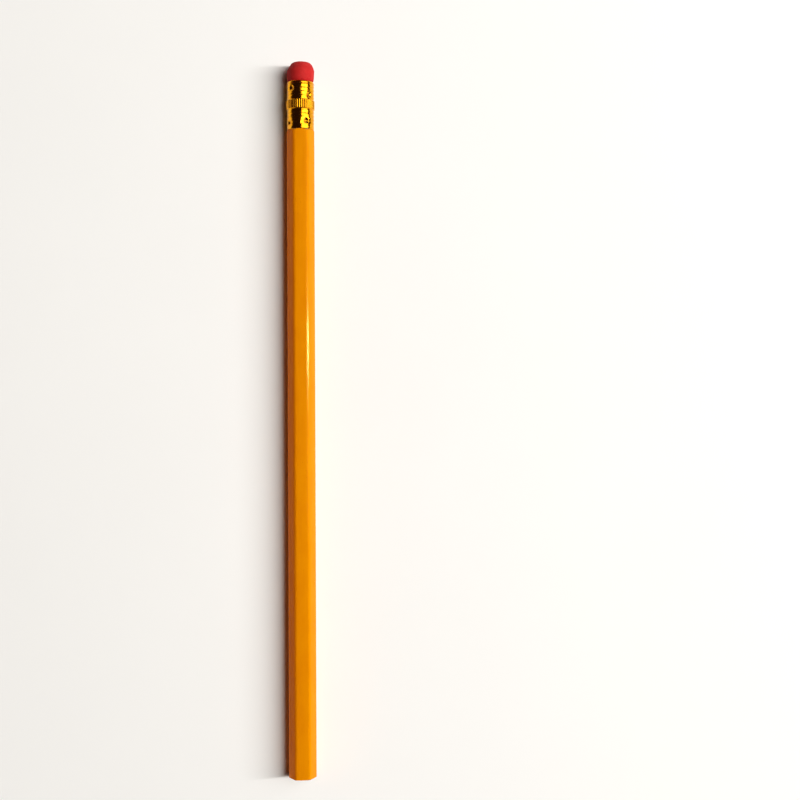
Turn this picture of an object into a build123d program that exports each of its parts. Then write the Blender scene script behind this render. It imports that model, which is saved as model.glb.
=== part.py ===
"""Hexagonal wood-cased graphite pencil with a metal ferrule and a plug eraser, unsharpened.

Frame: the pencil lies on the plane Z = 0 with its length along Y, its sawn
writing end towards -Y and its eraser towards +Y. One flat faces straight up.
The origin is the bottom centre of its bounding box. Millimetres.

Bench order of assembly:
  two grooved slats are glued face to face round the lead, milled to a hexagon,
  lacquered, shouldered at one end, then the ferrule is pushed on and punched
  into the wood, and the eraser is pushed in and punched from outside too.
"""

import math
import os

from build123d import *

os.makedirs("parts", exist_ok=True)

# ---------------------------------------------------------------- dimensions
LENGTH = 190.0  # sawn end to eraser crown
FLATS = 6.70  # across flats, over the lacquer
EDGE_R = 1.00  # rounding along the six long edges
LACQUER_T = 0.10  # paint build-up, all coats together
LEAD_D = 2.10  # graphite-clay core
GLUE_T = 0.05  # adhesive film between the slats and round the lead

FERRULE_LEN = 12.70
FERRULE_R = 3.62  # crest of the rolled beads
FERRULE_BORE_R = 3.37
GROOVE_DEEP = 0.09  # bead crest to valley
BEAD_PITCH = 1.00
BEADS_LOW = (1.20, 4)  # first valley from the wood edge, number of beads
BEADS_HIGH = (8.00, 4)
BAND_LOW, BAND_HIGH = 5.30, 7.80  # fluted band, from the wood edge
BAND_R = 3.73
FLUTES = 38
FLUTE_CUT_R = 0.15
RIM_BORE_R = 3.20  # rolled-in rim that grips the eraser

TENON_R = 3.36  # corners turned down under the ferrule
TENON_LEN = 6.30
SHOULDER = 0.42  # length of the turned cone on the hexagon's corners

ERASER_OUT = 5.30  # eraser standing out of the ferrule
ERASER_R = 3.36  # inside the ferrule
ERASER_WAIST_R = 3.19  # at the rolled rim
ERASER_BULGE_R = 3.50  # just outside the rim
ERASER_MID_R = 3.60  # widest, where the squeezed rubber stands proud of the rim
# The crown, as (distance below the tip, radius): a cone, then a round over to the flat top
CROWN_CONE = ((2.10, 3.58), (0.75, 2.90))
CROWN_ROUND = (0.25, 2.46)
CROWN_FLAT_R = 1.85
ERASER_GAP = 0.10  # between the tenon's end and the plug

# Punch marks: (angle from straight up towards +X in degrees, distance from the
# ferrule's wood edge). They alternate in height round the tube.
PUNCHES_WOOD = ((-57.0, 1.65), (26.0, 2.05), (116.0, 1.65), (206.0, 2.05))
PUNCHES_RUBBER = ((-42.0, 10.75), (41.0, 9.00), (131.0, 10.75), (221.0, 9.00))
PUNCH_DISH_R, PUNCH_DISH_DEEP = 1.20, 0.10
PUNCH_TOP_R, PUNCH_TIP_R, PUNCH_DEEP = 0.60, 0.24, 0.34
BUMP_ROOT_R, BUMP_TIP_R, BUMP_OUT = 0.78, 0.40, 0.28

# ---------------------------------------------------------------- positions
Y_CUT = -LENGTH / 2
Y_TIP = LENGTH / 2
Y_RIM = Y_TIP - ERASER_OUT
Y_EDGE = Y_RIM - FERRULE_LEN
Y_TENON = Y_EDGE + TENON_LEN
Z_AXIS = BAND_R
AXIS = Axis((0, 0, Z_AXIS), (0, 1, 0))


def across(y):
    """Plane square to the pencil at y: its x is -X and its y is +Z."""
    return Plane(origin=(0, y, Z_AXIS), x_dir=(-1, 0, 0), z_dir=(0, 1, 0))


# Half-section plane: its x runs along the pencil and its y runs outwards.
SECTION = Plane(origin=(0, 0, Z_AXIS), x_dir=(0, 1, 0), z_dir=(1, 0, 0))


def punch_plane(angle, along, radius):
    """Plane on a radius of the ferrule, its z pointing outwards."""
    a = math.radians(angle)
    out = (math.sin(a), 0, math.cos(a))
    return Plane(
        origin=(out[0] * radius, Y_EDGE + along, Z_AXIS + out[2] * radius),
        x_dir=(0, 1, 0),
        z_dir=out,
    )


# ---------------------------------------------------------------- shared profiles and tools
BARE = FLATS / 2 - LACQUER_T

with BuildSketch(across(Y_CUT)) as painted_hexagon:
    RegularPolygon(FLATS / 2, 6, major_radius=False)
    fillet(painted_hexagon.vertices(), EDGE_R)

with BuildSketch(across(Y_CUT)) as bare_hexagon:
    RegularPolygon(BARE, 6, major_radius=False)
    fillet(bare_hexagon.vertices(), EDGE_R - LACQUER_T)

# What the shouldering tool removes outside the tenon: a ring with a conical start.
with BuildPart() as turned_ring:
    with BuildSketch(SECTION):
        with BuildLine():
            Polyline(
                (Y_EDGE - SHOULDER, FERRULE_R + 0.22),
                (Y_EDGE, TENON_R),
                (Y_TENON + 1, TENON_R),
                (Y_TENON + 1, 6),
                (Y_EDGE - SHOULDER, 6),
                close=True,
            )
        make_face()
    revolve(axis=AXIS)

# The inward side of each punch mark, which bites into the wood or the rubber.
BUMP_SKIN = 0.10  # how far each bump's root reaches into the ferrule's wall
bump_height = BUMP_SKIN + BUMP_OUT
bump_root_r = BUMP_ROOT_R + (BUMP_ROOT_R - BUMP_TIP_R) * BUMP_SKIN / BUMP_OUT
bump_centre = FERRULE_BORE_R + BUMP_SKIN - bump_height / 2

with BuildPart() as wood_bumps:
    with Locations(*[punch_plane(a, u, bump_centre) for a, u in PUNCHES_WOOD]):
        Cone(BUMP_TIP_R, bump_root_r, bump_height)

with BuildPart() as rubber_bumps:
    with Locations(*[punch_plane(a, u, bump_centre) for a, u in PUNCHES_RUBBER]):
        Cone(BUMP_TIP_R, bump_root_r, bump_height)

# The outward side of each punch mark: a shallow dish round a deeper point.
with BuildPart() as punch_nose:
    with BuildSketch(Plane.XZ):
        with BuildLine():
            Polyline(
                (0, -PUNCH_DEEP),
                (PUNCH_TIP_R, -PUNCH_DEEP),
                (PUNCH_TOP_R, -PUNCH_DISH_DEEP),
            )
            ThreePointArc(
                (PUNCH_TOP_R, -PUNCH_DISH_DEEP),
                ((PUNCH_TOP_R + PUNCH_DISH_R) / 2, -PUNCH_DISH_DEEP * 0.68),
                (PUNCH_DISH_R, 0),
            )
            Polyline(
                (PUNCH_DISH_R, 0),
                (PUNCH_DISH_R + 0.20, 0.30),
                (0, 0.30),
                (0, -PUNCH_DEEP),
            )
        make_face()
    revolve(axis=Axis.Z)

# ---------------------------------------------------------------- lead
with BuildPart() as graphite_core:
    with BuildSketch(across(Y_CUT)):
        Circle(LEAD_D / 2)
    extrude(amount=Y_TENON - Y_CUT)

# ---------------------------------------------------------------- slats
# Each is half the hexagon with a round groove for the lead. The joint runs corner to corner.
with BuildPart() as slat_upper:
    with BuildSketch(across(Y_CUT)):
        add(bare_hexagon.sketch_local)
        with Locations((0, 5 + GLUE_T / 2)):
            Rectangle(10, 10, mode=Mode.INTERSECT)
        Circle(LEAD_D / 2 + GLUE_T, mode=Mode.SUBTRACT)
    extrude(amount=Y_TENON - Y_CUT)
    add(turned_ring.part, mode=Mode.SUBTRACT)
    add(wood_bumps.part, mode=Mode.SUBTRACT)

with BuildPart() as slat_lower:
    with BuildSketch(across(Y_CUT)):
        add(bare_hexagon.sketch_local)
        with Locations((0, -5 - GLUE_T / 2)):
            Rectangle(10, 10, mode=Mode.INTERSECT)
        Circle(LEAD_D / 2 + GLUE_T, mode=Mode.SUBTRACT)
    extrude(amount=Y_TENON - Y_CUT)
    add(turned_ring.part, mode=Mode.SUBTRACT)
    add(wood_bumps.part, mode=Mode.SUBTRACT)

# ---------------------------------------------------------------- adhesive
with BuildPart() as glue_film:
    with BuildSketch(across(Y_CUT)):
        add(bare_hexagon.sketch_local)
        Rectangle(10, GLUE_T, mode=Mode.INTERSECT)
        Circle(LEAD_D / 2 + GLUE_T)
        Circle(LEAD_D / 2, mode=Mode.SUBTRACT)
    extrude(amount=Y_TENON - Y_CUT)
    add(turned_ring.part, mode=Mode.SUBTRACT)

# ---------------------------------------------------------------- lacquer
with BuildPart() as lacquer_coat:
    with BuildSketch(across(Y_CUT)):
        add(painted_hexagon.sketch_local)
        add(bare_hexagon.sketch_local, mode=Mode.SUBTRACT)
    extrude(amount=Y_EDGE - Y_CUT)
    add(turned_ring.part, mode=Mode.SUBTRACT)

# ---------------------------------------------------------------- ferrule
with BuildPart() as ferrule:
    valley = FERRULE_R - GROOVE_DEEP
    rise = FERRULE_R - 0.03
    with BuildSketch(SECTION):
        with BuildLine():
            outer = [(0.0, valley), (0.10, rise), (BEADS_LOW[0] - 0.12, rise)]
            Polyline(*[(Y_EDGE + u, r) for u, r in [(0.0, FERRULE_BORE_R)] + outer])
            Line(
                (Y_EDGE + outer[-1][0], rise), (Y_EDGE + BEADS_LOW[0], valley)
            )
            for start, count in (BEADS_LOW, BEADS_HIGH):
                for i in range(count):
                    u = Y_EDGE + start + i * BEAD_PITCH
                    ThreePointArc(
                        (u, valley),
                        (u + BEAD_PITCH / 2, FERRULE_R),
                        (u + BEAD_PITCH, valley),
                    )
            low_end = BEADS_LOW[0] + BEADS_LOW[1] * BEAD_PITCH
            Polyline(
                *[
                    (Y_EDGE + u, r)
                    for u, r in (
                        (low_end, valley),
                        (BAND_LOW, valley),
                        (BAND_LOW + 0.12, BAND_R),
                        (BAND_HIGH - 0.12, BAND_R),
                        (BAND_HIGH, valley),
                        (BEADS_HIGH[0], valley),
                    )
                ]
            )
            high_end = BEADS_HIGH[0] + BEADS_HIGH[1] * BEAD_PITCH
            Polyline(
                *[
                    (Y_EDGE + u, r)
                    for u, r in (
                        (high_end, valley),
                        (high_end + 0.10, FERRULE_R - 0.04),
                        (high_end + 0.35, FERRULE_R - 0.06),
                        (FERRULE_LEN - 0.12, FERRULE_R - 0.18),
                        (FERRULE_LEN, RIM_BORE_R + 0.12),
                        (FERRULE_LEN, RIM_BORE_R),
                        (FERRULE_LEN - 0.55, FERRULE_BORE_R),
                        (0.0, FERRULE_BORE_R),
                    )
                ]
            )
        make_face()
    revolve(axis=AXIS)
    with BuildSketch(across(Y_EDGE + BAND_LOW)):
        with PolarLocations(FERRULE_R + 0.02 + FLUTE_CUT_R, FLUTES):
            Circle(FLUTE_CUT_R)
    extrude(amount=BAND_HIGH - BAND_LOW, mode=Mode.SUBTRACT)
    add(wood_bumps.part)
    add(rubber_bumps.part)
    with Locations(
        *[punch_plane(a, u, FERRULE_R) for a, u in PUNCHES_WOOD + PUNCHES_RUBBER]
    ):
        add(punch_nose.part, mode=Mode.SUBTRACT)

# ---------------------------------------------------------------- eraser
with BuildPart() as eraser:
    y0 = Y_TENON + ERASER_GAP
    (low_in, low_r), (high_in, high_r) = CROWN_CONE
    with BuildSketch(SECTION):
        with BuildLine():
            Polyline(
                (Y_TIP, 0),
                (y0, 0),
                (y0, ERASER_R - 0.25),
                (y0 + 0.25, ERASER_R),
                (Y_RIM - 0.58, ERASER_R),
                (Y_RIM, ERASER_WAIST_R),
                (Y_RIM + 0.40, ERASER_BULGE_R),
            )
            ThreePointArc(
                (Y_RIM + 0.40, ERASER_BULGE_R),
                (Y_RIM + 1.55, ERASER_MID_R),
                (Y_TIP - low_in, low_r),
            )
            Line((Y_TIP - low_in, low_r), (Y_TIP - high_in, high_r))
            ThreePointArc(
                (Y_TIP - high_in, high_r),
                (Y_TIP - CROWN_ROUND[0], CROWN_ROUND[1]),
                (Y_TIP, CROWN_FLAT_R),
            )
            Line((Y_TIP, CROWN_FLAT_R), (Y_TIP, 0))
        make_face()
    revolve(axis=AXIS)
    add(rubber_bumps.part, mode=Mode.SUBTRACT)

# ---------------------------------------------------------------- export
for name, built in {
    "graphite_core": graphite_core,
    "slat_upper": slat_upper,
    "slat_lower": slat_lower,
    "glue_film": glue_film,
    "lacquer_coat": lacquer_coat,
    "ferrule": ferrule,
    "eraser": eraser,
}.items():
    built.part.label = name
    export_step(built.part, f"parts/{name}.step")
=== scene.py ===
import math

import bmesh
import bpy
import numpy as np
from mathutils import Matrix, Vector


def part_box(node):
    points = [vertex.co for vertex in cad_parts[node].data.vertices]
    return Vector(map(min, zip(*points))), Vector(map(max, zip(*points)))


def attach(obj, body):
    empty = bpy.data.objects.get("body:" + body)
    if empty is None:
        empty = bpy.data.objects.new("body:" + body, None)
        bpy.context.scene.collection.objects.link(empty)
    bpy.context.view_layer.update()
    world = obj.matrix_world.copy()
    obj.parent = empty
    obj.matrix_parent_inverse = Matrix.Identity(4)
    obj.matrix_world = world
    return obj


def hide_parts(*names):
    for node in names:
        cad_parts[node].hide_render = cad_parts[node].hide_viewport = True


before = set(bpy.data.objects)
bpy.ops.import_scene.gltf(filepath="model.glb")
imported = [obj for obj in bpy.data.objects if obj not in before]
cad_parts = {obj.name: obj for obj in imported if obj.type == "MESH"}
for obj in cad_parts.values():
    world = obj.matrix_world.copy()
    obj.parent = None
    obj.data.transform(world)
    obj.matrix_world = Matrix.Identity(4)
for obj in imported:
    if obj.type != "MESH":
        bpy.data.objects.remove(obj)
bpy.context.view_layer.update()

# ------------------------------------------------------------------ sizes, all from the frame, in mm
def node_box(name):
    low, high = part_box(name)
    return np.array(low) * 1000.0, np.array(high) * 1000.0


coat_lo, coat_hi = node_box("lacquer_coat")
ring_lo, ring_hi = node_box("ferrule")
rub_lo, rub_hi = node_box("eraser")
wood_lo, wood_hi = node_box("slat_upper")
core_lo, core_hi = node_box("graphite_core")
film_lo, film_hi = node_box("glue_film")

Y_CUT, Y_EDGE, Y_RIM = wood_lo[1], ring_lo[1], ring_hi[1]
Y_TENON, Y_PLUG, Y_TIP = wood_hi[1], rub_lo[1], rub_hi[1]
Z_AXIS = (ring_lo[2] + ring_hi[2]) / 2
BAND_R = (ring_hi[2] - ring_lo[2]) / 2
APOTHEM = (coat_hi[2] - coat_lo[2]) / 2
LEAD_R = (core_hi[0] - core_lo[0]) / 2
GROOVE_R = (film_hi[2] - film_lo[2]) / 2
FILM_T = wood_lo[2] * 2 - 2 * Z_AXIS  # the upper slat starts half a film above the axis
PLUG_R = (rub_hi[0] - rub_lo[0]) / 2
COAT_T = coat_hi[2] - wood_hi[2]
BORE_R, TENON_R = 3.37, 3.36
CREST_R, VALLEY_R = 3.62, 3.556
FLUTES = 38
PUNCHES_WOOD = ((-57.0, 1.65), (26.0, 2.05), (116.0, 1.65), (206.0, 2.05))
PUNCHES_RUBBER = ((-42.0, 10.75), (41.0, 9.00), (131.0, 10.75), (221.0, 9.00))
SHOULDER = 0.42


# ------------------------------------------------------------------ helpers
def ramp(x, a, b):
    t = np.clip((np.asarray(x, float) - a) / (b - a), 0.0, 1.0)
    return t * t * (3 - 2 * t)


def ripples(seed, count, low, high):
    """A smooth field of two coordinates, about -1 to 1, from a seeded sum of waves.
    low and high are the shortest and longest wavelengths along each coordinate."""
    rng = np.random.RandomState(seed)
    waves = []
    for _ in range(count):
        wa = math.exp(rng.uniform(math.log(low[0]), math.log(high[0])))
        wb = math.exp(rng.uniform(math.log(low[1]), math.log(high[1])))
        waves.append((2 * math.pi / wa, 2 * math.pi / wb * rng.choice((-1, 1)), rng.uniform(0, 6.283), rng.uniform(0.5, 1)))

    def field(a, b):
        a, b = np.broadcast_arrays(np.asarray(a, float), np.asarray(b, float))
        out = np.zeros(a.shape)
        for ka, kb, phase, size in waves:
            out += size * np.sin(ka * a + kb * b + phase)
        return out / (0.9 * math.sqrt(count))

    return field


def punch_distance(u, angle, marks):
    """Shortest distance in mm over the tube's surface to the nearest punch mark."""
    u, angle = np.broadcast_arrays(np.asarray(u, float), np.asarray(angle, float))
    best = np.full(u.shape, 99.0)
    for i, (deg, along) in enumerate(marks):
        around = (angle - math.radians(deg) + math.pi) % (2 * math.pi) - math.pi
        du, ds = u - along, around * 3.55
        rho = np.hypot(du, ds)
        # the tool's point isn't quite round: it has three soft corners
        skew = 1 + 0.06 * np.cos(3 * (np.arctan2(ds, du) - 0.7 * i - 0.3))
        best = np.minimum(best, rho * skew)
    return best


def tube_bore(u, angle):
    rho = punch_distance(u, angle, PUNCHES_WOOD + PUNCHES_RUBBER)
    return BORE_R - 0.28 * np.clip((0.62 - rho) / 0.32, 0, 1)


def build(name, verts, faces, node, material, sharp=35.0, extra=()):
    """A mesh piece from points in mm about the pencil's axis. It stands for a CAD node and rides on the one body."""
    pts = np.asarray(verts, float).reshape(-1, 3) * 0.001
    pts[:, 2] += Z_AXIS * 0.001
    me = bpy.data.meshes.new(name)
    me.from_pydata(pts.tolist(), [], [tuple(int(i) for i in f) for f in faces])
    bm = bmesh.new()
    bm.from_mesh(me)
    bmesh.ops.recalc_face_normals(bm, faces=bm.faces)
    loose = [e for e in bm.edges if len(e.link_faces) != 2]
    if loose:
        print("OPEN", name, len(loose))
    bm.to_mesh(me)
    bm.free()
    for label, values in extra:
        layer = me.attributes.new(label, "FLOAT", "POINT")
        layer.data.foreach_set("value", np.asarray(values, np.float32).ravel())
    me.shade_smooth()
    me.set_sharp_from_angle(angle=math.radians(sharp))
    ob = bpy.data.objects.new(name, me)
    bpy.context.scene.collection.objects.link(ob)
    me.materials.append(material)
    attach(ob, "root")
    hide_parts(node)
    return ob


class Shape:
    """Points and faces gathered from grids."""

    def __init__(self):
        self.points, self.faces, self.count = [], [], 0

    def add(self, grid):
        """Adds a grid of points (rows, columns, 3) and returns their numbers."""
        grid = np.asarray(grid, float)
        numbers = np.arange(grid.shape[0] * grid.shape[1]).reshape(grid.shape[:2]) + self.count
        self.points.append(grid.reshape(-1, 3))
        self.count += numbers.size
        return numbers

    def skin(self, n, wrap=False):
        """Quads over a grid of numbers. wrap joins its last column to its first."""
        n = np.asarray(n)
        if wrap:
            n = np.concatenate([n, n[:, :1]], axis=1)
        quads = np.stack([n[:-1, :-1], n[:-1, 1:], n[1:, 1:], n[1:, :-1]], axis=-1).reshape(-1, 4)
        self.faces.extend(quads.tolist())

    def fan(self, ring, apex, wrap=True):
        """Triangles from a ring of numbers to one new point."""
        top = self.add(np.asarray(apex, float).reshape(1, 1, 3))[0, 0]
        ring = list(ring) + ([ring[0]] if wrap else [])
        self.faces.extend([[a, b, top] for a, b in zip(ring[:-1], ring[1:])])


def hexagon(apothem, radius, crown, n_arc=12, n_flat=8):
    """A hexagon with rounded corners and slightly crowned sides, as (points, normals) in x, z, starting at a flat's middle on +z.
    crown is how far, in degrees, each side has turned by where its corner starts."""
    turn = math.radians(crown)

    def sixth(length):
        angles, steps = [], []
        for k in range(n_flat // 2):
            angles.append((k + 0.5) / (n_flat / 2) * turn)
            steps.append(length / n_flat)
        for k in range(n_arc):
            angles.append(turn + (k + 0.5) / n_arc * (math.radians(60) - 2 * turn))
            steps.append(radius * (math.radians(60) - 2 * turn) / n_arc)
        for k in range(n_flat // 2):
            angles.append(math.radians(60) - turn + (k + 0.5) / (n_flat / 2) * turn)
            steps.append(length / n_flat)
        x = np.concatenate([[0], np.cumsum([s * math.cos(a) for a, s in zip(angles, steps)])])
        z = np.concatenate([[0], np.cumsum([-s * math.sin(a) for a, s in zip(angles, steps)])])
        edge = np.concatenate([[0], np.cumsum(steps)])
        tilt = np.interp(edge, [0, length / 2, edge[-1] - length / 2, edge[-1]], [0, turn, math.radians(60) - turn, math.radians(60)])
        return x, z, tilt

    length = 2.6
    for _ in range(30):
        x, z, tilt = sixth(length)
        length += (apothem - math.hypot(x[-1], z[-1])) * 0.9
    pts, nrm = [], []
    for k in range(6):
        a = math.radians(60 * k)
        c, s = math.cos(a), math.sin(a)
        for i in range(len(x) - 1):
            px, pz = x[i], z[i] + apothem
            pts.append((px * c + pz * s, -px * s + pz * c))
            nrm.append((math.sin(tilt[i] + a), math.cos(tilt[i] + a)))
    return np.array(pts), np.array(nrm)


def cone_radius(y):
    """Radius that the shouldering tool leaves at y."""
    t = (np.asarray(y, float) - (Y_EDGE - SHOULDER)) / SHOULDER
    return np.where(t < 0, 99.0, np.maximum(TENON_R, 3.84 - (3.84 - TENON_R) * t))


def cone_place(r):
    """Where along the pencil the tool's cone has radius r."""
    return Y_EDGE - SHOULDER + SHOULDER * (3.84 - np.asarray(r, float)) / (3.84 - TENON_R)


# ------------------------------------------------------------------ materials
class Nodes:
    def __init__(self, name):
        self.material = bpy.data.materials.new(name)
        self.material.use_nodes = True
        self.tree = self.material.node_tree
        self.shader = next(n for n in self.tree.nodes if n.type == "BSDF_PRINCIPLED")
        self.coords = self.new("ShaderNodeTexCoord").outputs["Object"]

    def new(self, kind, **settings):
        node = self.tree.nodes.new(kind)
        for key, value in settings.items():
            setattr(node, key, value)
        return node

    def link(self, a, b):
        self.tree.links.new(a, b)

    def place(self, size, turn=(0, 0, 0), source=None):
        """Coordinates in which one unit is size millimetres along each axis."""
        node = self.new("ShaderNodeMapping")
        node.inputs["Scale"].default_value = [1000.0 / s for s in size]
        node.inputs["Rotation"].default_value = turn
        self.link(source or self.coords, node.inputs["Vector"])
        return node.outputs["Vector"]

    def noise(self, size, detail=3.0, rough=0.5, distortion=0.0, turn=(0, 0, 0)):
        node = self.new("ShaderNodeTexNoise")
        node.inputs["Scale"].default_value = 1.0
        node.inputs["Detail"].default_value = detail
        node.inputs["Roughness"].default_value = rough
        node.inputs["Distortion"].default_value = distortion
        self.link(self.place(size, turn), node.inputs["Vector"])
        return node.outputs["Fac"]

    def cells(self, size, feature="F1", turn=(0, 0, 0)):
        node = self.new("ShaderNodeTexVoronoi", feature=feature)
        node.inputs["Scale"].default_value = 1.0
        self.link(self.place(size, turn), node.inputs["Vector"])
        return node

    def curve(self, value, stops):
        """Maps 0..1 to grey levels through a colour ramp."""
        node = self.new("ShaderNodeValToRGB")
        ramp_ = node.color_ramp
        while len(ramp_.elements) < len(stops):
            ramp_.elements.new(0.5)
        for element, (at, level) in zip(ramp_.elements, stops):
            element.position = at
            element.color = (level, level, level, 1) if not isinstance(level, tuple) else (*level, 1)
        self.link(value, node.inputs["Fac"])
        return node.outputs["Color"]

    def mix(self, factor, a, b, blend="MIX"):
        node = self.new("ShaderNodeMix", data_type="RGBA", blend_type=blend)
        for socket, value in ((node.inputs[0], factor), (node.inputs[6], a), (node.inputs[7], b)):
            if isinstance(value, (int, float)):
                socket.default_value = value
            elif isinstance(value, tuple):
                socket.default_value = (*value, 1)
            else:
                self.link(value, socket)
        return node.outputs[2]

    def maths(self, operation, a, b=None):
        node = self.new("ShaderNodeMath", operation=operation)
        for socket, value in zip(node.inputs, (a, b)):
            if value is None:
                continue
            if isinstance(value, (int, float)):
                socket.default_value = value
            else:
                self.link(value, socket)
        return node.outputs[0]

    def attribute(self, name):
        node = self.new("ShaderNodeAttribute", attribute_name=name)
        return node.outputs["Fac"]

    def bump(self, height, depth_mm, strength=1.0, normal=None):
        node = self.new("ShaderNodeBump")
        node.inputs["Strength"].default_value = strength
        node.inputs["Distance"].default_value = depth_mm * 0.001
        self.link(height, node.inputs["Height"])
        if normal is not None:
            self.link(normal, node.inputs["Normal"])
        return node.outputs["Normal"]

    def set(self, **values):
        for key, value in values.items():
            socket = self.shader.inputs[key.replace("_", " ")]
            if isinstance(value, (int, float)):
                socket.default_value = value
            elif isinstance(value, tuple):
                socket.default_value = (*value, 1) if len(value) == 3 else value
            else:
                self.link(value, socket)


def lacquer_material():
    n = Nodes("lacquer")
    # Long soft streaks along the barrel where the coats lie thicker, and faint mottling.
    streak = n.curve(n.noise((1.3, 30, 1.3), 3, 0.55), ((0.30, 0.0), (0.72, 1.0)))
    colour = n.mix(streak, (0.705, 0.260, 0.0010), (0.735, 0.282, 0.0014))
    mottle = n.curve(n.noise((3.2, 7.0, 3.2), 4, 0.6), ((0.38, 0.0), (0.75, 1.0)))
    colour = n.mix(n.maths("MULTIPLY", mottle, 0.45), colour, (0.650, 0.212, 0.0010))
    # The wood's grain, hardly showing through.
    grain = n.curve(n.noise((0.10, 9.0, 0.10), 5, 0.6), ((0.44, 0.0), (0.62, 1.0)))
    colour = n.mix(n.maths("MULTIPLY", grain, 0.10), colour, (0.62, 0.170, 0.002))
    # Dust caught in the lacquer: small dark specks.
    specks = n.cells((0.95, 1.6, 0.95)).outputs["Distance"]
    rare = n.curve(n.noise((4, 6, 4), 2, 0.5), ((0.50, 0.0), (0.58, 1.0)))
    dot = n.maths("MULTIPLY", n.curve(specks, ((0.05, 1.0), (0.10, 0.0))), rare)
    colour = n.mix(n.maths("MULTIPLY", dot, 0.40), colour, (0.33, 0.080, 0.003))
    # The coat is worn thin where it was cut through, and its cut edges are painted darker: painted shade of those
    # edges.
    cut_edge_shade = n.attribute("cut_edge_shade")
    ragged_edge_shade = n.curve(n.maths("MULTIPLY", cut_edge_shade, n.curve(n.noise((0.22, 0.22, 0.22), 3, 0.6), ((0.25, 0.25), (0.7, 1.0)))), ((0.18, 0.0), (0.62, 1.0)))
    colour = n.mix(ragged_edge_shade, colour, (0.42, 0.135, 0.006))
    rough = n.curve(n.noise((2.5, 14, 2.5), 3, 0.6), ((0.3, 0.060), (0.75, 0.100)))
    peel = n.noise((0.55, 0.8, 0.55), 2, 0.4)
    waves = n.noise((1.6, 7.0, 1.6), 2, 0.45)
    normal = n.bump(peel, 0.0016)
    normal = n.bump(waves, 0.012, normal=normal)
    normal = n.bump(grain, 0.0006, normal=normal)
    n.set(Base_Color=colour, Roughness=rough, Normal=normal)
    n.set(Specular_IOR_Level=0.5, IOR=1.18, Specular_Tint=(1.0, 0.75, 0.45), Metallic=0.01)
    return n.material


def wood_material():
    n = Nodes("cedar")
    # Growth rings run as wide arcs across the end and as streaks along the sides.
    rings = n.new("ShaderNodeTexWave", wave_type="RINGS", rings_direction="Y", wave_profile="SAW")
    rings.inputs["Scale"].default_value = 0.30
    rings.inputs["Distortion"].default_value = 1.4
    rings.inputs["Detail"].default_value = 3.0
    rings.inputs["Detail Scale"].default_value = 0.8
    place = n.place((1, 60, 1))
    shift = n.new("ShaderNodeVectorMath", operation="ADD")
    shift.inputs[1].default_value = (-9.0, 0.0, 11.0)
    n.link(place, shift.inputs[0])
    n.link(shift.outputs[0], rings.inputs["Vector"])
    band = n.curve(rings.outputs["Fac"], ((0.0, 0.0), (0.75, 0.35), (0.95, 1.0)))
    colour = n.mix(band, (0.585, 0.330, 0.175), (0.400, 0.190, 0.085))
    fibre = n.curve(n.noise((0.07, 5.0, 0.07), 4, 0.65), ((0.35, 0.0), (0.68, 1.0)))
    colour = n.mix(n.maths("MULTIPLY", fibre, 0.50), colour, (0.330, 0.150, 0.065))
    pores = n.cells((0.075, 1.2, 0.075)).outputs["Distance"]
    pit = n.curve(pores, ((0.16, 1.0), (0.34, 0.0)))
    colour = n.mix(n.maths("MULTIPLY", pit, 0.45), colour, (0.230, 0.095, 0.040))
    pale = n.curve(n.noise((0.5, 4, 0.5), 3, 0.6), ((0.45, 0.0), (0.8, 1.0)))
    colour = n.mix(n.maths("MULTIPLY", pale, 0.35), colour, (0.700, 0.455, 0.280))
    saw = n.noise((2.0, 3.0, 0.05), 3, 0.7)
    normal = n.bump(saw, 0.010)
    normal = n.bump(pit, -0.012, normal=normal)
    normal = n.bump(fibre, 0.008, normal=normal)
    n.set(Base_Color=colour, Roughness=n.curve(fibre, ((0.0, 0.62), (1.0, 0.80))), Normal=normal)
    n.set(Specular_IOR_Level=0.35)
    return n.material


def lead_material():
    n = Nodes("graphite")
    cloud = n.noise((0.35, 0.6, 0.35), 4, 0.6)
    colour = n.mix(cloud, (0.026, 0.027, 0.030), (0.065, 0.066, 0.070))
    grains = n.curve(n.cells((0.035, 0.035, 0.035)).outputs["Distance"], ((0.1, 1.0), (0.45, 0.0)))
    colour = n.mix(n.maths("MULTIPLY", grains, 0.35), colour, (0.15, 0.15, 0.155))
    scratch = n.noise((1.6, 2.0, 0.03), 3, 0.7)
    normal = n.bump(scratch, 0.006)
    normal = n.bump(grains, 0.004, normal=normal)
    n.set(Base_Color=colour, Roughness=n.curve(cloud, ((0.3, 0.30), (0.7, 0.48))), Normal=normal)
    n.set(Metallic=0.35)
    return n.material


def glue_material():
    n = Nodes("adhesive")
    cloud = n.noise((0.3, 2.0, 0.3), 3, 0.6)
    colour = n.mix(cloud, (0.47, 0.32, 0.17), (0.66, 0.50, 0.30))
    normal = n.bump(n.noise((0.05, 0.3, 0.05), 3, 0.6), 0.006)
    n.set(Base_Color=colour, Roughness=n.curve(cloud, ((0.3, 0.40), (0.7, 0.60))), Normal=normal)
    return n.material


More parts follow.
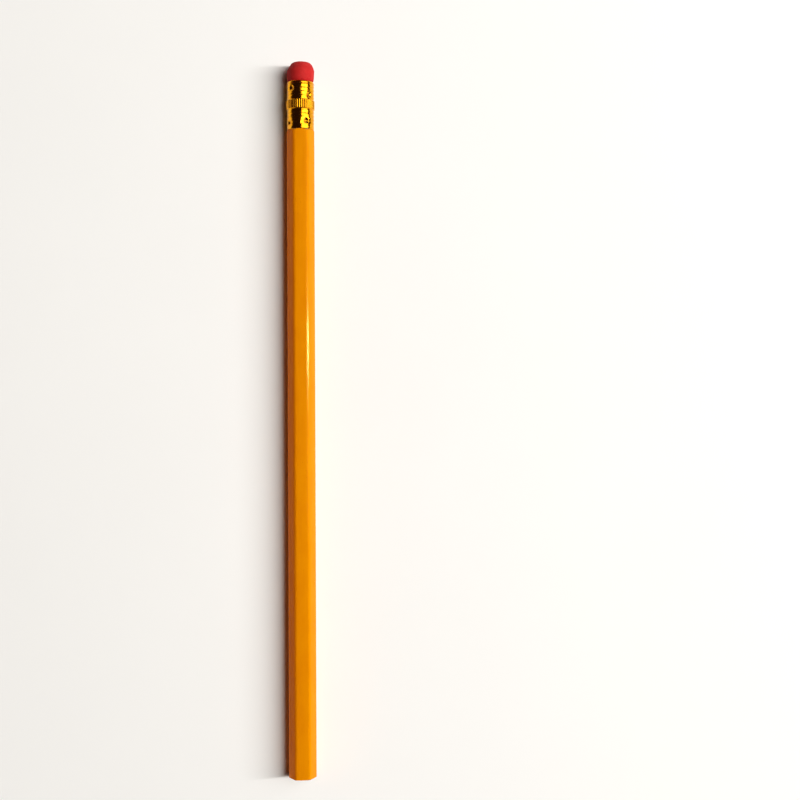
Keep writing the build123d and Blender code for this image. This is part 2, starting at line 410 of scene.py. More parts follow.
def ferrule_material():
    n = Nodes("gold_metal")
    # Slight tarnish: redder and duller in the valleys and the punch marks.
    tone = n.curve(n.noise((1.8, 1.8, 1.8), 4, 0.6), ((0.35, 0.0), (0.70, 1.0)))
    colour = n.mix(tone, (0.940, 0.455, 0.022), (0.880, 0.395, 0.016))
    cavity = n.attribute("cavity")
    dirt = n.maths("MULTIPLY", cavity, n.curve(n.noise((0.30, 0.30, 0.30), 4, 0.65), ((0.25, 0.35), (0.70, 1.0))))
    colour = n.mix(n.maths("MULTIPLY", dirt, 0.60), colour, (0.450, 0.140, 0.008))
    spots = n.curve(n.cells((0.6, 0.6, 0.6)).outputs["Distance"], ((0.05, 1.0), (0.13, 0.0)))
    rare = n.curve(n.noise((2, 2, 2), 2, 0.5), ((0.52, 0.0), (0.60, 1.0)))
    colour = n.mix(n.maths("MULTIPLY", n.maths("MULTIPLY", spots, rare), 0.5), colour, (0.35, 0.14, 0.03))
    # Drawing marks run round the tube, with finer scuffs along it.
    rounds = n.noise((4.0, 0.035, 4.0), 4, 0.7)
    scuffs = n.curve(n.noise((0.05, 1.6, 0.05), 3, 0.6), ((0.56, 0.0), (0.70, 1.0)))
    rough = n.curve(n.noise((0.7, 0.5, 0.7), 4, 0.6), ((0.25, 0.11), (0.75, 0.18)))
    rough = n.mix(n.maths("MULTIPLY", dirt, 0.6), rough, (0.45, 0.45, 0.45))
    normal = n.bump(rounds, 0.0016)
    normal = n.bump(scuffs, -0.0010, normal=normal)
    normal = n.bump(n.noise((0.35, 0.30, 0.35), 2, 0.5), 0.006, normal=normal)
    n.set(Base_Color=colour, Roughness=rough, Normal=normal)
    n.set(Metallic=1.0)
    return n.material


def eraser_material():
    n = Nodes("red_rubber")
    cloud = n.curve(n.noise((1.5, 1.5, 1.5), 4, 0.6), ((0.32, 0.0), (0.70, 1.0)))
    colour = n.mix(cloud, (0.455, 0.017, 0.017), (0.520, 0.025, 0.024))
    fine = n.noise((0.09, 0.09, 0.09), 4, 0.7)
    colour = n.mix(n.curve(fine, ((0.42, 0.0), (0.75, 0.40))), colour, (0.560, 0.045, 0.042))
    # Chalky bloom on the crown's edge, and pale dust lying on the rubber.
    bloom = n.maths("MULTIPLY", n.attribute("rubbed"), n.curve(n.noise((0.25, 0.25, 0.25), 4, 0.7), ((0.40, 0.0), (0.70, 1.0))))
    colour = n.mix(n.maths("MULTIPLY", bloom, 0.35), colour, (0.600, 0.110, 0.100))
    dust = n.curve(n.cells((0.42, 0.42, 0.42)).outputs["Distance"], ((0.045, 1.0), (0.085, 0.0)))
    rare = n.curve(n.noise((1.3, 1.3, 1.3), 2, 0.5), ((0.48, 0.0), (0.60, 1.0)))
    colour = n.mix(n.maths("MULTIPLY", n.maths("MULTIPLY", dust, rare), 0.75), colour, (0.80, 0.48, 0.42))
    pits = n.curve(n.cells((0.16, 0.16, 0.16)).outputs["Distance"], ((0.10, 1.0), (0.30, 0.0)))
    normal = n.bump(fine, 0.014)
    normal = n.bump(pits, -0.010, normal=normal)
    normal = n.bump(n.noise((0.6, 0.6, 0.6), 3, 0.5), 0.02, normal=normal)
    n.set(Base_Color=colour, Roughness=n.curve(fine, ((0.3, 0.58), (0.7, 0.78))), Normal=normal)
    n.set(Specular_IOR_Level=0.22, IOR=1.5)
    return n.material


lacquer = lacquer_material()
cedar = wood_material()
graphite = lead_material()
adhesive = glue_material()
gold = ferrule_material()
rubber = eraser_material()

# ------------------------------------------------------------------ lacquer: six glossy sides, a scalloped shoulder, a chipped sawn edge
EDGE_R, CROWN = 1.00, 4.0
outer_p, outer_n = hexagon(APOTHEM, EDGE_R, CROWN)
inner_p = outer_p - outer_n * COAT_T
paint_r = np.hypot(*outer_p.T)
bare_r = np.hypot(*inner_p.T)
columns = len(outer_p)
around = np.arctan2(outer_p[:, 0], outer_p[:, 1])
run = np.arange(columns) / columns * 22.0  # roughly mm round the barrel

drift = ripples(3, 14, (9, 7), (40, 22))
fine_drift = ripples(4, 16, (2.5, 2.0), (7, 6))
chip = ripples(5, 22, (0.5, 1), (2.4, 2))
# Where each column of the coat starts, at the sawn end, and stops, at the shoulder.
starts = Y_CUT + 0.015 + 0.16 * np.clip(chip(run, 0) - 0.75, 0, 1) + 0.012 * (1 + chip(run * 1.7, 5))
on_corner = bare_r > TENON_R + 0.004
stops = np.where(on_corner, cone_place(bare_r) + 0.018 * chip(run, 9), Y_EDGE + 0.35)
kinks = np.where(paint_r > TENON_R + 0.02, np.minimum(cone_place(paint_r), stops - 0.02), stops - 0.02)

coat = Shape()
rows_outer, cut_edge_shade = [], []
body_rows = np.concatenate([
    Y_CUT + np.array([0.30, 0.36, 0.45, 0.6, 0.9, 1.4, 2.0]),
    np.arange(Y_CUT + 3.0, Y_EDGE - 2.0, 1.0),
    Y_EDGE - np.array([1.6, 1.2, 0.9]),
])


def coat_row(y, inset=0.0, thin=0.0):
    """One ring of the coat's outside at y, which may differ from column to column."""
    y = np.broadcast_to(np.asarray(y, float), (columns,))
    swell = 0.0060 * drift(y, run) + 0.0014 * fine_drift(y, run)
    off = swell - inset
    p = outer_p + outer_n * (off * (1 - thin))[:, None]
    r = np.hypot(*p.T)
    limit = np.minimum(r, np.maximum(cone_radius(y), bare_r + 0.010))
    limit = np.where(on_corner, limit, np.minimum(r, np.where(y > Y_EDGE - SHOULDER, np.maximum(cone_radius(y), TENON_R), 99)))
    p = p * (limit / r)[:, None]
    return np.stack([p[:, 0], y, p[:, 1]], axis=-1)


# Rows rounding over the sawn edge; the mask marks them for the lacquer's painted edge shade.
for k, (share, inset) in enumerate(((0.0, 0.050), (0.10, 0.022), (0.25, 0.006), (0.55, 0.0))):
    rows_outer.append(coat_row(starts + (Y_CUT + 0.30 - starts) * share, np.full(columns, inset)))
    cut_edge_shade.append(np.full(columns, (1.0, 0.75, 0.4, 0.1)[k]))
for y in body_rows:
    rows_outer.append(coat_row(y))
    cut_edge_shade.append(np.zeros(columns))
last = body_rows[-1]
# Rows up to the shoulder; the mask marks the cut corners for the lacquer's painted edge shade.
for share in (0.3, 0.6, 0.85, 1.0):
    y = last + (kinks - last) * share
    rows_outer.append(coat_row(y))
    cut_edge_shade.append(np.where(paint_r > TENON_R + 0.02, max(0.0, share - 0.8) * 2.5, 0.0))
for share in (0.2, 0.45, 0.7, 1.0):
    y = kinks + (stops - kinks) * share
    rows_outer.append(coat_row(y, thin=0.6))
    cut_edge_shade.append(np.where(paint_r > TENON_R + 0.02, 0.5 + 0.5 * share, 0.0))
outside = np.array(rows_outer)
inside_rows = []
for i, y in enumerate([starts + 0.0] + [np.full(columns, v) for v in (Y_CUT + 0.5, -60.0, 0.0, 60.0, Y_EDGE - 1.2)] + [stops]):
    p = inner_p
    inside_rows.append(np.stack([p[:, 0], y, p[:, 1]], axis=-1))
inside = np.array(inside_rows)
a, b = coat.add(outside), coat.add(inside)
coat.skin(a, wrap=True)
coat.skin(b[::-1], wrap=True)
coat.skin(np.stack([b[0], a[0]]), wrap=True)
coat.skin(np.stack([a[-1], b[-1]]), wrap=True)
cut_edge_shade_all = np.concatenate([np.array(cut_edge_shade).ravel(), np.zeros(inside.shape[0] * columns)])
barrel = build("barrel_lacquer", np.concatenate(coat.points), coat.faces, "lacquer_coat", lacquer, sharp=38, extra=[("cut_edge_shade", cut_edge_shade_all)])

# ------------------------------------------------------------------ wood: two grooved slats with sawn ends
half_film = FILM_T / 2
saw_marks = ripples(21, 26, (0.10, 3.0), (0.55, 20.0))
saw_deep = ripples(22, 9, (0.5, 4.0), (1.6, 30.0))
fuzz = ripples(23, 40, (0.06, 0.06), (0.25, 0.25))


def sawn(x, z):
    """How far the sawn face is below flat at each point: shallow arcs left by the blade, and torn grain."""
    along = z + 0.018 * (x - 1.5) ** 2
    cut = 0.010 * (1 + saw_marks(along, x)) + 0.010 * (1 + saw_deep(along, x)) + 0.005 * (1 + fuzz(x, z))
    return np.clip(cut, 0.0, 0.06)


def slat(name, node, side):
    n_across, n_deep = 121, 26
    # Outer outline of this half, from +x round to -x, between the two glue joints.
    dense_p, _ = hexagon(APOTHEM, EDGE_R, CROWN, 24, 16)
    dense_o, dense_n = hexagon(APOTHEM, EDGE_R, CROWN, 24, 16)
    dense = dense_o - dense_n * (COAT_T + 0.002)
    ang = np.arctan2(dense[:, 1] * side, dense[:, 0])
    keep = ang > 0
    order = np.argsort(ang[keep])
    ang_k, px, pz = ang[keep][order], dense[keep][order][:, 0], (dense[keep][order] * side)[:, 1]
    tip = np.max(np.abs(dense[:, 0]))
    x_all = np.concatenate([[tip * 0.9995], px, [-tip * 0.9995]])
    z_all = np.concatenate([[0.0], pz, [0.0]])
    length = np.concatenate([[0], np.cumsum(np.hypot(np.diff(x_all), np.diff(z_all)))])
    at = np.linspace(0, length[-1], n_across)
    ox, oz = np.interp(at, length, x_all), np.interp(at, length, z_all)
    oz = np.maximum(oz, half_film)
    # Groove outline, matched column by column.
    low = math.asin(half_film / GROOVE_R)
    ga = np.linspace(low, math.pi - low, n_across)
    gx, gz = GROOVE_R * np.cos(ga), GROOVE_R * np.sin(ga)
    edge_r = np.hypot(ox, oz)

    def section(y):
        limit = np.minimum(edge_r, cone_radius(y))
        if y > Y_EDGE:
            theta = np.arctan2(ox, oz * side)
            limit = np.minimum(limit, tube_bore(y - Y_EDGE, theta) - 0.01)
        sx, sz = ox * limit / edge_r, np.maximum(oz * limit / edge_r, half_film)
        t = np.linspace(0, 1, n_deep)[:, None]
        x = sx[None] * (1 - t) + gx[None] * t
        z = sz[None] * (1 - t) + gz[None] * t
        return x, z

    ys = np.concatenate([
        [Y_CUT, Y_CUT + 0.06, Y_CUT + 0.4, -60, 0, 60, Y_EDGE - 2, Y_EDGE - 0.6],
        np.arange(Y_EDGE - SHOULDER, Y_EDGE + 0.01, 0.03),
        np.arange(Y_EDGE + 0.15, Y_EDGE + 3.2, 0.13),
        [Y_EDGE + 4.2, Y_TENON - 0.12, Y_TENON],
    ])
    s = Shape()
    rings, front, back = [], None, None
    for i, y in enumerate(ys):
        x, z = section(y)
        if i == len(ys) - 1:  # the tenon's end is a little broken at its edge
            t = np.linspace(0, 1, n_deep)[:, None]
            x[0], z[0] = x[0] * 0.985, np.maximum(z[0] * 0.985, half_film)
        yy = np.full(x.shape, y)
        if i == 0:
            yy = yy + sawn(x, z * side)
        grid = np.stack([x, yy, z * side], axis=-1)
        if i in (0, len(ys) - 1):
            n = s.add(grid)
            s.skin(n)
            ring = np.concatenate([n[0], n[1:, -1], n[-1, ::-1][1:], n[::-1, 0][1:-1]])
        else:
            loop = np.concatenate([grid[0], grid[1:, -1], grid[-1, ::-1][1:], grid[::-1, 0][1:-1]])
            ring = s.add(loop[None])[0]
        rings.append(ring)
    s.skin(np.array(rings), wrap=True)
    return build(name, np.concatenate(s.points), s.faces, node, cedar, sharp=32)


slat("wood_slat_upper", "slat_upper", 1)
slat("wood_slat_lower", "slat_lower", -1)

# ------------------------------------------------------------------ lead
lead = Shape()
n_round = 96
turn = np.linspace(0, 2 * math.pi, n_round, endpoint=False)
broken = ripples(31, 18, (0.25, 1), (1.2, 2))
end_rings = []
for share in np.linspace(0.06, 1.0, 22):
    r = LEAD_R * share - (0.012 if share == 1.0 else 0.0)
    x, z = r * np.cos(turn), r * np.sin(turn)
    dip = 0.008 + 0.45 * sawn(x, z) + 0.05 * ramp(share, 0.93, 1.0) * (1 + broken(turn * LEAD_R, 0)) * 0.5
    end_rings.append(np.stack([x, Y_CUT + dip, z], axis=-1))
side_rings = []
for y in (Y_CUT + 0.10, Y_CUT + 0.5, -60, 0, 60, Y_TENON - 0.05):
    side_rings.append(np.stack([LEAD_R * np.cos(turn), np.full(n_round, float(y)), LEAD_R * np.sin(turn)], axis=-1))
for share in (0.985, 0.7, 0.3):
    r = LEAD_R * share
    side_rings.append(np.stack([r * np.cos(turn), np.full(n_round, Y_TENON), r * np.sin(turn)], axis=-1))
n = lead.add(np.array(end_rings + side_rings))
lead.skin(n, wrap=True)
lead.fan(n[0], (0, Y_CUT + 0.008 + 0.45 * float(sawn(0.0, 0.0)), 0))
lead.fan(n[-1][::-1], (0, Y_TENON, 0))
build("graphite_lead", np.concatenate(lead.points), lead.faces, "graphite_core", graphite, sharp=40)

# ------------------------------------------------------------------ adhesive: a film round the lead with a wing to each corner
film = Shape()
wing = 14
root = math.asin(half_film / GROOVE_R)
arc = np.linspace(root, math.pi - root, 41)
tip_x = float(np.max(np.abs(inner_p[:, 0]))) - 0.004


def film_section(y):
    reach = min(tip_x, float(cone_radius(y)))
    if y > Y_EDGE:
        reach = min(reach, TENON_R - 0.01)
    wx = np.linspace(GROOVE_R * math.cos(root), reach, wing)
    right_up = np.stack([wx[::-1], np.full(wing, half_film * 0.98)], -1)
    left_up = np.stack([-wx, np.full(wing, half_film * 0.98)], -1)
    top = np.stack([GROOVE_R * np.cos(arc), GROOVE_R * np.sin(arc)], -1)
    upper = np.concatenate([right_up, top[1:-1], left_up])
    lower = upper[::-1] * [1, -1]
    return upper, lower, top


film_ys = [Y_CUT, Y_CUT + 0.1, -60, 0, 60, Y_EDGE - SHOULDER] + list(np.linspace(Y_EDGE - 0.3, Y_EDGE, 6)) + [Y_TENON - 0.01]
outer_rings, inner_rings, caps = [], [], []
for i, y in enumerate(film_ys):
    upper, lower, _ = film_section(float(y))
    loop = np.concatenate([upper, lower])
    dip = (0.006 + sawn(loop[:, 0], loop[:, 1])) if i == 0 else np.zeros(len(loop))
    ring = film.add(np.stack([loop[:, 0], y + dip, loop[:, 1]], -1)[None])[0]
    both = np.concatenate([arc, arc + math.pi])
    bx, bz = (LEAD_R + 0.001) * np.cos(both), (LEAD_R + 0.001) * np.sin(both)
    dip = (0.006 + sawn(bx, bz)) if i == 0 else np.zeros(len(both))
    hole = film.add(np.stack([bx, y + dip, bz], -1)[None])[0]
    outer_rings.append(ring)
    inner_rings.append(hole)
film.skin(np.array(outer_rings), wrap=True)
film.skin(np.array(inner_rings)[::-1], wrap=True)
n_up, n_arc = len(upper), len(arc)
for at, flip in ((0, False), (-1, True)):
    ring, hole = outer_rings[at], inner_rings[at]
    up, down = ring[:n_up], ring[n_up:]
    top_out = up[wing - 1: wing - 1 + n_arc]
    bottom_out = down[wing - 1: wing - 1 + n_arc]
    quads = []
    for k in range(n_arc - 1):
        quads.append([top_out[k], top_out[k + 1], hole[k + 1], hole[k]])
        quads.append([bottom_out[k], bottom_out[k + 1], hole[n_arc + k + 1], hole[n_arc + k]])
    quads.append([top_out[-1], bottom_out[0], hole[n_arc], hole[n_arc - 1]])
    quads.append([bottom_out[-1], top_out[0], hole[0], hole[-1]])
    for k in range(wing - 1):
        quads.append([up[k], up[k + 1], down[-2 - k], down[-1 - k]])
        j = n_up - wing + k
        quads.append([up[j], up[j + 1], down[n_up - 2 - j], down[n_up - 1 - j]])
    film.faces.extend([[int(v) for v in (q[::-1] if flip else q)] for q in quads])
build("glue_line", np.concatenate(film.points), film.faces, "glue_film", adhesive, sharp=40)

# ------------------------------------------------------------------ ferrule: beads, fluted band, punch marks and a rolled rim
f_cols = FLUTES * 16
theta = np.linspace(0, 2 * math.pi, f_cols, endpoint=False)  # from straight up towards +x
LEN = Y_RIM - Y_EDGE
u_rows = np.unique(np.round(np.concatenate([
    np.array([0.0, 0.015, 0.04, 0.08, 0.12]),
    np.arange(0.17, 1.10, 0.06),
    np.arange(1.10, 5.32, 0.045),
    np.arange(5.30, 5.48, 0.02),
    np.arange(5.50, 7.62, 0.08),
    np.arange(7.62, 7.84, 0.02),
    np.arange(7.84, 12.12, 0.045),
    np.arange(12.15, 12.60, 0.045),
    np.array([12.62, 12.65, 12.675, 12.69, 12.698]),
]), 4))


def bead(f):
    """One rolled bead from valley to valley, 0 to 1: a soft wave with slightly tighter valleys."""
    wave = 0.5 - 0.5 * np.cos(2 * math.pi * f)
    return 0.72 * wave + 0.28 * np.sqrt(wave + 0.02) / math.sqrt(1.02)


def tube_profile(u):
    plain = CREST_R - 0.03
    r = np.full(u.shape, VALLEY_R)
    # wood edge: a cut edge with a small radius, then a plain collar
    r = np.where(u <= 1.14, plain - 0.075 * (1 - ramp(u, -0.02, 0.10)), r)
    r = np.where((u > 1.02) & (u <= 1.20), plain - (plain - VALLEY_R) * ramp(u, 1.02, 1.20), r)
    for start in (1.20, 8.00):
        inside_ = (u > start) & (u <= start + 4.0)
        f = (u - start) % 1.0
        r = np.where(inside_, VALLEY_R + (CREST_R - VALLEY_R) * bead(f), r)
    up = ramp(u, 5.27, 5.44) * (1 - ramp(u, 7.66, 7.83))
    r = r + (BAND_R - VALLEY_R) * up
    # eraser end: a plain lip that rolls in over the rubber
    lip = VALLEY_R + 0.052 * ramp(u, 11.98, 12.14) - 0.02 * ramp(u, 12.25, 12.45)
    curl = np.clip((u - 12.36) / (LEN - 12.36), 0, 1)
    lip = lip - 0.300 * (1 - np.sqrt(np.clip(1 - curl ** 2.2, 0, 1)))
    r = np.where(u > 12.0, lip, r)
    return r, up


dents = ripples(41, 24, (0.7, 0.7), (3.5, 4.0))
wobble = ripples(42, 18, (2.0, 1.5), (9.0, 6.0))
U, T = np.meshgrid(u_rows, theta, indexing="ij")
R, band_mask = tube_profile(U)
# soft unevenness of thin rolled metal, always inwards
S = T * 3.6
seam = np.cos(T / 2)  # the field closes on itself through this weight
uneven = 0.5 * (wobble(U, S) * seam ** 2 + wobble(U, S - 2 * math.pi * 3.6) * (1 - seam ** 2))
fine_dent = dents(U, S) * seam ** 2 + dents(U, S - 2 * math.pi * 3.6) * (1 - seam ** 2)
R = R - 0.010 * (1 + uneven) * (1 - 0.8 * band_mask) - 0.0035 * (1 + fine_dent) * (1 - band_mask)
# flutes: crest straight down, so the tube stands on one
phase = np.abs(((T - math.pi) * FLUTES / (2 * math.pi) + 0.20) % 1.0 - 0.5)
from_groove = (0.5 - phase) * 2 * math.pi * BAND_R / FLUTES
depth_var = 1 + 0.10 * np.sin(3 * T + 0.6) + 0.08 * np.sin(7 * T)
groove = 0.112 * np.minimum(depth_var, 1.10) - 0.50 * np.sqrt(from_groove ** 2 + 0.018 ** 2)
groove = 0.5 * (groove + np.sqrt(groove ** 2 + 0.010 ** 2)) - 0.0012
crest = 1 - np.clip(groove / 0.105, 0, 1)
cut_mask = ramp(U, 5.32, 5.56) * (1 - ramp(U, 7.54, 7.78))
R = R - np.maximum(groove, 0) * cut_mask
R = np.where(band_mask > 0.5, np.minimum(R, BAND_R - 0.0030), R)
# punch marks
rho = punch_distance(U, T, PUNCHES_WOOD + PUNCHES_RUBBER)
dish = np.exp(-(rho / 1.42) ** 3.2) * (1 - band_mask)
target = CREST_R - 0.135
flat = R + (np.minimum(R, target + 0.062 * (rho / 1.4) ** 2) - R) * np.clip(dish * 1.3, 0, 1)
R = flat + 0.010 * np.exp(-((rho - 1.66) / 0.20) ** 2) * (1 - band_mask)
core = np.clip((0.80 - rho) / 0.50, 0, 1)
pit = np.clip((0.34 - rho) / 0.17, 0, 1)
R = R - 0.250 * (core * core * (3 - 2 * core) * 0.5 + core * 0.5) - 0.070 * pit * pit * (3 - 2 * pit)
cavity = np.clip(core * 0.35 + pit * 0.65 + 0.30 * np.exp(-((rho - 0.80) / 0.12) ** 2), 0, 1)
f_bead = np.where((U > 1.2) & (U < 5.2), (U - 1.2) % 1.0, np.where((U > 8) & (U < 12), U % 1.0, 0.5))
cavity = np.maximum(cavity, np.exp(-(np.minimum(f_bead, 1 - f_bead) / 0.07) ** 2) * 0.9)
cavity = np.maximum(cavity, (1 - crest) ** 2 * cut_mask * 0.9)
cavity = np.maximum(cavity, np.exp(-((U - LEN) / 0.08) ** 2) * 0.6)
tube_out = np.stack([R * np.sin(T), Y_EDGE + U, R * np.cos(T)], -1)

u_in = np.unique(np.round(np.concatenate([
    [0.0, 0.03, 0.3], np.arange(0.8, 3.05, 0.11), [3.6, 5.0, 6.5, 7.8], np.arange(8.1, 11.8, 0.11), [12.0, 12.2, 12.35, 12.5, 12.6, 12.66, 12.69],
]), 4))
UI, TI = np.meshgrid(u_in, theta, indexing="ij")
RI = tube_bore(UI, TI)
RI = RI + 0.03 * (1 - ramp(UI, 0.0, 0.05))
RI = RI - 0.165 * ramp(UI, 12.10, 12.62)
tube_in = np.stack([RI * np.sin(TI), Y_EDGE + UI, RI * np.cos(TI)], -1)
ring = Shape()
a, b = ring.add(tube_out), ring.add(tube_in)
ring.skin(a, wrap=True)
ring.skin(b[::-1], wrap=True)
ring.skin(np.stack([b[0], a[0]]), wrap=True)
# the rim's very edge, rounded from the outside to the inside
lip_rows = []
for share in (0.35, 0.70):
    r = tube_out[-1] * (1 - share) + tube_in[-1] * share
    r[:, 1] = Y_RIM - 0.0005
    lip_rows.append(r)
m = ring.add(np.array(lip_rows))
ring.skin(np.concatenate([a[-1:], m, b[-1:]]), wrap=True)
cav_all = np.concatenate([cavity.ravel(), np.full(tube_in.shape[0] * f_cols + m.size, 0.4)])
build("ferrule_tube", np.concatenate(ring.points), ring.faces, "ferrule", gold, sharp=50, extra=[("cavity", cav_all)])

# ------------------------------------------------------------------ eraser: a tapered plug with a rubbed, rounded crown
e_cols = 192
ea = np.linspace(0, 2 * math.pi, e_cols, endpoint=False)
stand = Y_TIP - Y_RIM
profile = [(Y_PLUG, 0.9), (Y_PLUG, 1.9), (Y_PLUG, 2.7), (Y_PLUG, PLUG_R - 0.25), (Y_PLUG + 0.07, PLUG_R - 0.10), (Y_PLUG + 0.25, PLUG_R)]
profile += [(y, PLUG_R) for y in np.arange(Y_PLUG + 0.5, Y_RIM - 0.62, 0.13)]
profile += [(Y_RIM - 0.60, PLUG_R), (Y_RIM - 0.45, 3.315), (Y_RIM - 0.30, 3.270), (Y_RIM - 0.15, 3.215), (Y_RIM - 0.05, 3.190), (Y_RIM + 0.02, 3.205)]


def arc3(a, b, c, count):
    """Points along the circle through a, b and c, from just after a to c."""
    (ax, ay), (bx, by), (cx, cy) = a, b, c
    d = 2 * (ax * (by - cy) + bx * (cy - ay) + cx * (ay - by))
    ux = ((ax * ax + ay * ay) * (by - cy) + (bx * bx + by * by) * (cy - ay) + (cx * cx + cy * cy) * (ay - by)) / d
    uy = ((ax * ax + ay * ay) * (cx - bx) + (bx * bx + by * by) * (ax - cx) + (cx * cx + cy * cy) * (bx - ax)) / d
    radius = math.hypot(ax - ux, ay - uy)
    first, last = math.atan2(ay - uy, ax - ux), math.atan2(cy - uy, cx - ux)
    return [(ux + radius * math.cos(t), uy + radius * math.sin(t)) for t in np.linspace(first, last, count + 1)[1:]]


# what stands out: a soft barrel, then a cone, then a round over to the flat top
shown = [(Y_RIM + 0.08, 3.250), (Y_RIM + 0.16, 3.330), (Y_RIM + 0.26, 3.410), (Y_RIM + 0.40, 3.500)]
shown += arc3((Y_RIM + 0.40, 3.50), (Y_RIM + 1.55, 3.61), (Y_TIP - 2.10, 3.60), 18)
shown += [(Y_TIP - 2.10 + 1.35 * t, 3.60 - 0.67 * t) for t in np.linspace(0, 1, 12)[1:]]
shown += arc3((Y_TIP - 0.75, 2.93), (Y_TIP - 0.26, 2.48), (Y_TIP - 0.016, 1.85), 14)
shown = np.array(shown)
for _ in range(5):  # no crease where the pieces meet
    shown[1:-1] = 0.25 * shown[:-2] + 0.5 * shown[1:-1] + 0.25 * shown[2:]
profile += [tuple(p) for p in shown]
y_crown = Y_TIP - 1.5
top_r = shown[-1][1]
for share in (0.90, 0.78, 0.66, 0.54, 0.42, 0.28, 0.14, 0.05):
    profile.append((Y_TIP - 0.016 + 0.015 * (1 - share ** 2), top_r * share))
profile = np.array(profile)
PY, PA = np.meshgrid(profile[:, 0], ea, indexing="ij")
PR = np.repeat(profile[:, 1][:, None], e_cols, axis=1)
lumps = ripples(51, 30, (0.5, 0.5), (2.6, 3.0))
rubbed_edge = ripples(52, 16, (1.2, 1.0), (4.0, 3.0))
ES = PA * 3.2
w = np.cos(PA / 2) ** 2
field = lumps(PY * 1.0, ES) * w + lumps(PY, ES - 2 * math.pi * 3.2) * (1 - w)
slow = rubbed_edge(PY, ES) * w + rubbed_edge(PY, ES - 2 * math.pi * 3.2) * (1 - w)
showing = ramp(PY, Y_RIM + 0.05, Y_RIM + 0.5)
near_axis = ramp(PR, 0.2, 1.4)
PR = PR * 1.0 + showing * near_axis * (0.010 * field - 0.012 * np.maximum(1 + slow, 0) * ramp(PY, y_crown - 0.6, y_crown + 0.6))
# the plug gives way to the punched metal round it
hidden = PY < Y_RIM - 0.60
PR = np.where(hidden & (PR > 2.9), np.minimum(PR, tube_bore(PY - Y_EDGE, PA) - 0.01), PR)
dimple = showing * (1 - near_axis * 0.6) * 0.012 * np.maximum(1 + slow, 0) * ramp(PY, Y_TIP - 0.3, Y_TIP)
# pressed in slightly askew: the crown stands a little towards +x
askew = 0.21 * ramp(PY, Y_TIP - 3.4, Y_TIP - 0.7)
grid = np.stack([PR * np.sin(PA) + askew, PY - dimple, PR * np.cos(PA)], -1)
plug = Shape()
n = plug.add(grid)
plug.skin(n, wrap=True)
plug.fan(n[0], (0, Y_PLUG, 0))
plug.fan(n[-1][::-1], (float(np.mean(grid[-1, :, 0])), float(np.mean(grid[-1, :, 1])), 0))
rubbed = np.clip(np.exp(-((PY - (y_crown + 0.75)) / 0.55) ** 2) + 0.25 * showing, 0, 1)
rub_all = np.concatenate([rubbed.ravel(), [0.0, 0.2]])
build("eraser_plug", np.concatenate(plug.points), plug.faces, "eraser", rubber, sharp=45, extra=[("rubbed", rub_all)])

# ------------------------------------------------------------------ floor, light, camera
def floor():
    n = Nodes("pale_floor")
    cloud = n.noise((60, 60, 60), 4, 0.6)
    n.set(Base_Color=n.mix(cloud, (0.87, 0.87, 0.865), (0.90, 0.90, 0.895)), Roughness=0.85, Specular_IOR_Level=0.2)
    me = bpy.data.meshes.new("floor")
    size, steps = 3.0, 12
    line = np.linspace(-size, size, steps + 1)
    pts = [(x, y, 0.0) for y in line for x in line]
    quads = [(j * (steps + 1) + i, j * (steps + 1) + i + 1, (j + 1) * (steps + 1) + i + 1, (j + 1) * (steps + 1) + i) for j in range(steps) for i in range(steps)]
    me.from_pydata(pts, [], quads)
    ob = bpy.data.objects.new("floor", me)
    bpy.context.scene.collection.objects.link(ob)
    me.materials.append(n.material)


def only_on(lamp, *pieces):
    """The lamp lights these pieces and no others."""
    group = bpy.data.collections.new(lamp.name + "_on")
    for piece in pieces:
        group.objects.link(piece)
    lamp.light_linking.receiver_collection = group


def softbox(name, at, size, power, colour, target=(0, 0.0, 0.004)):
    data = bpy.data.lights.new(name, "AREA")
    data.shape = "RECTANGLE"
    data.size, data.size_y = size
    data.energy = power
    data.color = colour
    ob = bpy.data.objects.new(name, data)
    bpy.context.scene.collection.objects.link(ob)
    ob.location = at
    ob.visible_camera = False
    back = (Vector(at) - Vector(target)).normalized()
    # keep the box's long side square to the pencil
    y_axis = Vector((0, 1, 0)) - back * back.y
    y_axis.normalize()
    x_axis = y_axis.cross(back)
    ob.rotation_mode = "QUATERNION"
    ob.rotation_quaternion = Matrix((x_axis, y_axis, back)).transposed().to_quaternion()
    return ob


floor()

scene = bpy.context.scene
scene.view_settings.view_transform = "Standard"
scene.view_settings.look = "Medium High Contrast"
scene.view_settings.exposure = 0.0
scene.view_settings.gamma = 1.0

world = bpy.data.worlds.new("studio")
scene.world = world
world.use_nodes = True
wt = world.node_tree
background = next(x for x in wt.nodes if x.type == "BACKGROUND")
wc = wt.nodes.new("ShaderNodeTexCoord")
wx = wt.nodes.new("ShaderNodeSeparateXYZ")
wr = wt.nodes.new("ShaderNodeValToRGB")
wt.links.new(wc.outputs["Generated"], wx.inputs[0])
wt.links.new(wx.outputs["Z"], wr.inputs["Fac"])
wt.links.new(wr.outputs["Color"], background.inputs["Color"])
stops_ = wr.color_ramp.elements
stops_[0].position, stops_[0].color = 0.03, (0.50, 0.41, 0.33, 1)
stops_[1].position, stops_[1].color = 0.28, (0.024, 0.014, 0.009, 1)
mid = stops_.new(0.11)
mid.color = (0.10, 0.08, 0.065, 1)
background.inputs["Strength"].default_value = 1.0

axis_z = Z_AXIS * 0.001
DIST = 1.60
WHITE = (1.0, 0.985, 0.95)


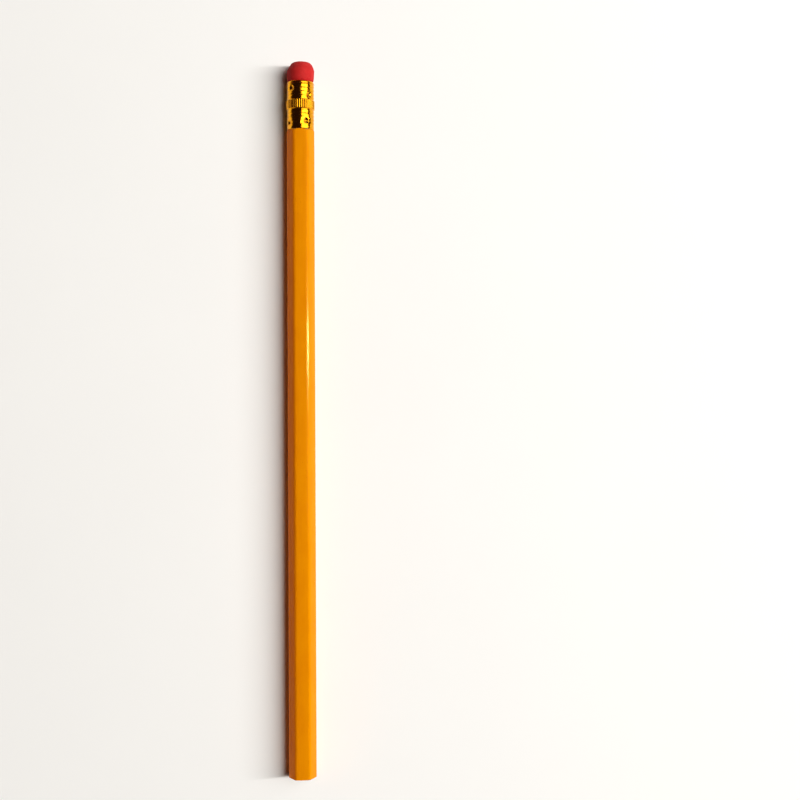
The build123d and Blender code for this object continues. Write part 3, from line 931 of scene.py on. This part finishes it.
def panel(name, low, high, y_low, y_high, level, colour, step=0.0):
    """A flat light square to the line from the pencil's axis. low and high are its edges, in degrees from straight up
    towards +x, and level is how bright its face is beside a white sheet lit at 1."""
    r, tilt = DIST + step, math.radians((low + high) / 2)
    wide = 2 * r * math.tan(math.radians(abs(high - low) / 2))
    at = (math.sin(tilt) * r, (y_low + y_high) / 2, axis_z + math.cos(tilt) * r)
    aim = (0, (y_low + y_high) / 2 if low > 0 else 0, axis_z)
    return softbox(name, at, (wide, y_high - y_low), math.pi * wide * (y_high - y_low) * level, colour, aim)


# The key's bright middle is two panels in one place: one lights the surfaces, the other is what the gloss shows.
core_light = panel("key_core", 13, 66, 0.021, 0.128, 43.5, WHITE)
core_light.visible_glossy = False
glint = panel("key_glint", 14, 80, 0.036, 0.138, 65.0, WHITE, 0.001)
glint.visible_diffuse = False
only_on(glint, barrel)  # the metal would show this panel far too bright
panel("key_skirt", 13, 66, 0.128, 0.190, 7.0, WHITE, 0.002)
wide_light = panel("key_wide", 8, 66, -0.20, 1.10, 1.40, WHITE, 0.004)
wide_light.visible_glossy = False
wide_glint = panel("key_wide_glint", 8, 66, -0.20, 1.10, 1.95, WHITE, 0.005)
wide_glint.visible_diffuse = False
warm = panel("warm_fill", -89, -75, -2.10, -0.30, 4.0, (1.0, 0.12, 0.006))
warm.visible_glossy = False
only_on(warm, barrel)  # the glow that orange lacquer close by throws back

camera = bpy.data.cameras.new("camera")
camera.sensor_width = 36.0
camera.lens = 58.56
camera.clip_start, camera.clip_end = 0.01, 20.0
cam = bpy.data.objects.new("camera", camera)
scene.collection.objects.link(cam)
ROLL = math.radians(4.5)  # the pencil lies turned this much about its own length, so the view is turned instead
away = np.array([0.0262, 0.3463])
turned = (away[0] * math.cos(ROLL) - away[1] * math.sin(ROLL), away[0] * math.sin(ROLL) + away[1] * math.cos(ROLL))
cam.location = (turned[0], 0.00522, axis_z + turned[1])
look = Vector((math.sin(ROLL), 0, -math.cos(ROLL)))
lean = math.radians(-0.21)
right = Vector((math.cos(ROLL), 0, math.sin(ROLL)))
up = Vector((0, 1, 0))
right_l = right * math.cos(lean) + up * math.sin(lean)
up_l = up * math.cos(lean) - right * math.sin(lean)
cam.rotation_mode = "QUATERNION"
cam.rotation_quaternion = Matrix((right_l, up_l, -look)).transposed().to_quaternion()
scene.camera = cam
